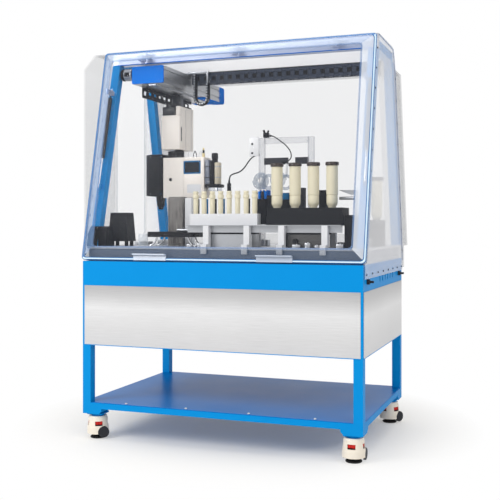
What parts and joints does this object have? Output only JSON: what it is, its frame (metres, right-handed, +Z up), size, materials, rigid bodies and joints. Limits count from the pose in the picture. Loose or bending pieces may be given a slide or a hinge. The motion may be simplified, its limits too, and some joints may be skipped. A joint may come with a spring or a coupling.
{
  "type": "automated sample preparation system",
  "caption": "Floor-standing sample preparation system: blue frame on levelling casters, steel skirt, and a clear enclosure with a lift-up door over a gantry arm and racks.",
  "frame": {"origin": "middle of the outline's footprint, on the floor", "axes": "+X to the operator's right, +Y to the back, +Z up"},
  "size_m": [1.504, 1.2372, 1.811],
  "materials": {
    "blue_paint": "smooth blue powder coat",
    "brushed": "horizontally brushed stainless",
    "aluminium": "anodised satin",
    "clear": "clear acrylic",
    "frosted_clear": "hazy clear acrylic",
    "white_plastic": "white",
    "blue_plastic": "blue",
    "black_plastic": "satin black",
    "dark_grey": "dark grey",
    "cream": "cream",
    "pale_housing": "pale satin coat",
    "white_case": "satin white",
    "ivory": "ivory enamel",
    "red_plastic": "red",
    "chrome": "polished",
    "black_metal": "gloss black",
    "rubber": "black rubber",
    "glass": "clear glass",
    "tubing": "clear hose"
  },
  "bodies": {
    "base": {"base_frame": "blue_paint", "base_shelf": "blue_paint", "skirt_panels": "brushed", "base_band": "blue_paint", "band_ports": "dark_grey", "deck_plate": "brushed", "deck_skirt": "brushed", "enclosure_frame": "blue_paint", "side_windows": "clear", "back_cover": "clear", "left_bay": "clear", "rear_bay": "frosted_clear", "fascia": "white_plastic", "gantry_rail": "aluminium", "x_chain": "black_plastic", "rack_posts": "white_plastic", "deck_steelwork": "brushed", "deck_units": "black_plastic", "white_rack": "white_plastic", "black_rack": "black_plastic", "cartridges": "cream", "beaker": "glass", "stand_frame": "white_plastic", "tube_coil": "tubing", "short_cable": "rubber", "sensor_cable": "rubber"},
    "door": {"hood_door": "clear", "hood_fittings": "white_plastic"},
    "right_rod": {"right_spring_rod": "chrome"},
    "right_tube": {"right_spring_tube": "black_metal"},
    "left_rod": {"left_spring_rod": "chrome"},
    "left_tube": {"left_spring_tube": "black_metal"},
    "arm": {"x_carriage": "aluminium", "y_arm": "aluminium", "arm_caps": "blue_plastic", "arm_motor": "pale_housing", "y_chain": "black_plastic"},
    "head": {"z_head": "pale_housing", "coil_cable": "rubber"},
    "tool": {"z_ram": "brushed", "display_box": "white_case", "dispenser": "black_plastic", "gripper": "aluminium"},
    "button": {"push_button": "black_plastic"},
    "housing_front_right": {"caster_housing_front_right": "ivory"},
    "wheels_front_right": {"caster_wheels_front_right": "dark_grey"},
    "thumb_front_right": {"caster_thumb_front_right": "red_plastic"},
    "foot_front_right": {"caster_foot_front_right": "rubber"},
    "housing_front_left": {"caster_housing_front_left": "ivory"},
    "wheels_front_left": {"caster_wheels_front_left": "dark_grey"},
    "thumb_front_left": {"caster_thumb_front_left": "red_plastic"},
    "foot_front_left": {"caster_foot_front_left": "rubber"},
    "housing_rear_right": {"caster_housing_rear_right": "ivory"},
    "wheels_rear_right": {"caster_wheels_rear_right": "dark_grey"},
    "thumb_rear_right": {"caster_thumb_rear_right": "red_plastic"},
    "foot_rear_right": {"caster_foot_rear_right": "rubber"},
    "housing_rear_left": {"caster_housing_rear_left": "ivory"},
    "wheels_rear_left": {"caster_wheels_rear_left": "dark_grey"},
    "thumb_rear_left": {"caster_thumb_rear_left": "red_plastic"},
    "foot_rear_left": {"caster_foot_rear_left": "rubber"}
  },
  "joints": [
    {"name": "door_hinge", "type": "hinge", "parent": "base", "child": "door", "pos_m": [0.074, -0.3292, 1.78745], "axis": [-1, 0, 0], "range_deg": [0, 80]},
    {"name": "right_spring_turn", "type": "hinge", "parent": "base", "child": "right_rod", "pos_m": [0.706, -0.49274, 1.15422], "axis": [1, 0, 0], "range_deg": [-0.01, 16.57]},
    {"name": "right_spring_slide", "type": "slide", "parent": "right_rod", "child": "right_tube", "axis": [0, 0.2441, 0.9697], "range_m": [0, 0.18965]},
    {"name": "left_spring_turn", "type": "hinge", "parent": "base", "child": "left_rod", "pos_m": [-0.558, -0.49274, 1.15422], "axis": [1, 0, 0], "range_deg": [-0.01, 16.57]},
    {"name": "left_spring_slide", "type": "slide", "parent": "left_rod", "child": "left_tube", "axis": [0, 0.2441, 0.9697], "range_m": [0, 0.18965]},
    {"name": "x_travel", "type": "slide", "parent": "base", "child": "arm", "axis": [1, 0, 0], "range_m": [0, 0.7], "deforming": ["x_chain"]},
    {"name": "y_travel", "type": "slide", "parent": "arm", "child": "head", "axis": [0, 1, 0], "range_m": [-0.1, 0.15], "deforming": ["y_chain"]},
    {"name": "z_travel", "type": "slide", "parent": "head", "child": "tool", "axis": [0, 0, 1], "range_m": [-0.11, 0], "deforming": ["coil_cable"]},
    {"name": "button_press", "type": "slide", "parent": "tool", "child": "button", "axis": [0, 1, 0], "range_m": [0, 0.002], "stiffness_N_per_m": 400, "springref_m": -0.001},
    {"name": "swivel_front_right", "type": "hinge", "parent": "base", "child": "housing_front_right", "pos_m": [0.674, -0.55414, 0.116], "axis": [0, 0, 1], "continuous": true},
    {"name": "roll_front_right", "type": "hinge", "parent": "housing_front_right", "child": "wheels_front_right", "pos_m": [0.674, -0.53214, 0.031], "axis": [-1, 0, 0], "continuous": true},
    {"name": "thumb_front_right", "type": "hinge", "parent": "housing_front_right", "child": "thumb_front_right", "pos_m": [0.674, -0.55414, 0.06], "axis": [0, 0, 1], "range_deg": [-720, 720]},
    {"name": "level_front_right", "type": "slide", "parent": "housing_front_right", "child": "foot_front_right", "axis": [0, 0, -1], "range_m": [-0.006, 0.006]},
    {"name": "swivel_front_left", "type": "hinge", "parent": "base", "child": "housing_front_left", "pos_m": [-0.526, -0.55414, 0.116], "axis": [0, 0, 1], "continuous": true},
    {"name": "roll_front_left", "type": "hinge", "parent": "housing_front_left", "child": "wheels_front_left", "pos_m": [-0.50798, -0.54153, 0.031], "axis": [-0.5736, 0.8192, 0], "continuous": true},
    {"name": "thumb_front_left", "type": "hinge", "parent": "housing_front_left", "child": "thumb_front_left", "pos_m": [-0.526, -0.55414, 0.06], "axis": [0, 0, 1], "range_deg": [-720, 720]},
    {"name": "level_front_left", "type": "slide", "parent": "housing_front_left", "child": "foot_front_left", "axis": [0, 0, -1], "range_m": [-0.006, 0.006]},
    {"name": "swivel_rear_right", "type": "hinge", "parent": "base", "child": "housing_rear_right", "pos_m": [0.674, 0.21085, 0.116], "axis": [0, 0, 1], "continuous": true},
    {"name": "roll_rear_right", "type": "hinge", "parent": "housing_rear_right", "child": "wheels_rear_right", "pos_m": [0.685, 0.22991, 0.031], "axis": [-0.866, 0.5, 0], "continuous": true},
    {"name": "thumb_rear_right", "type": "hinge", "parent": "housing_rear_right", "child": "thumb_rear_right", "pos_m": [0.674, 0.21085, 0.06], "axis": [0, 0, 1], "range_deg": [-720, 720]},
    {"name": "level_rear_right", "type": "slide", "parent": "housing_rear_right", "child": "foot_rear_right", "axis": [0, 0, -1], "range_m": [-0.006, 0.006]},
    {"name": "swivel_rear_left", "type": "hinge", "parent": "base", "child": "housing_rear_left", "pos_m": [-0.526, 0.21085, 0.116], "axis": [0, 0, 1], "continuous": true},
    {"name": "roll_rear_left", "type": "hinge", "parent": "housing_rear_left", "child": "wheels_rear_left", "pos_m": [-0.537, 0.22991, 0.031], "axis": [-0.866, -0.5, 0], "continuous": true},
    {"name": "thumb_rear_left", "type": "hinge", "parent": "housing_rear_left", "child": "thumb_rear_left", "pos_m": [-0.526, 0.21085, 0.06], "axis": [0, 0, 1], "range_deg": [-720, 720]},
    {"name": "level_rear_left", "type": "slide", "parent": "housing_rear_left", "child": "foot_rear_left", "axis": [0, 0, -1], "range_m": [-0.006, 0.006]}
  ],
  "couplings": [
    {"joint": "right_spring_turn", "follows": "door_hinge", "ratio": 0.20705},
    {"joint": "right_spring_slide", "follows": "door_hinge", "m_per_rad": 0.13582},
    {"joint": "left_spring_turn", "follows": "door_hinge", "ratio": 0.20705},
    {"joint": "left_spring_slide", "follows": "door_hinge", "m_per_rad": 0.13582},
    {"joint": "level_front_right", "follows": "thumb_front_right", "m_per_rad": 0.00047746},
    {"joint": "level_front_left", "follows": "thumb_front_left", "m_per_rad": 0.00047746},
    {"joint": "level_rear_right", "follows": "thumb_rear_right", "m_per_rad": 0.00047746},
    {"joint": "level_rear_left", "follows": "thumb_rear_left", "m_per_rad": 0.00047746}
  ]
}
